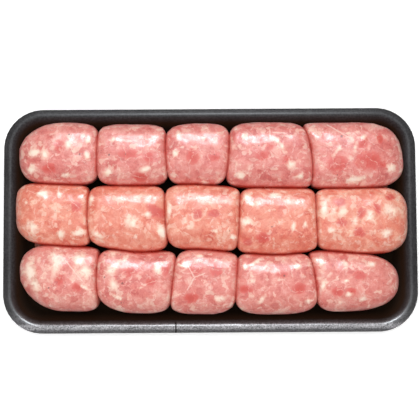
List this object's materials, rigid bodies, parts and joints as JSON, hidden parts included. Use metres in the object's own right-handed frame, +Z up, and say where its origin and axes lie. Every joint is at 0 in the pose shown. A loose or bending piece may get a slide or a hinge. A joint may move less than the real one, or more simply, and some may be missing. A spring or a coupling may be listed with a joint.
{
  "type": "string of sausage links in a foam tray",
  "caption": "Raw pork sausage links joined end to end in a folded string, lying in rows in a shallow rectangular black foam tray with a flared rim.",
  "frame": {"origin": "middle of the tray's flat underside", "axes": "+X along the tray's long side, +Y to its back edge, +Z up"},
  "size_m": [0.273, 0.148, 0.0384],
  "materials": {
    "tray_foam": "black expanded polystyrene foam with a fine-celled satin skin",
    "raw_sausage": "moist translucent natural casing over coarse pink pork with cream fat"
  },
  "bodies": {
    "root": {"tray": "tray_foam", "sausage_string": "raw_sausage"}
  },
  "joints": []
}
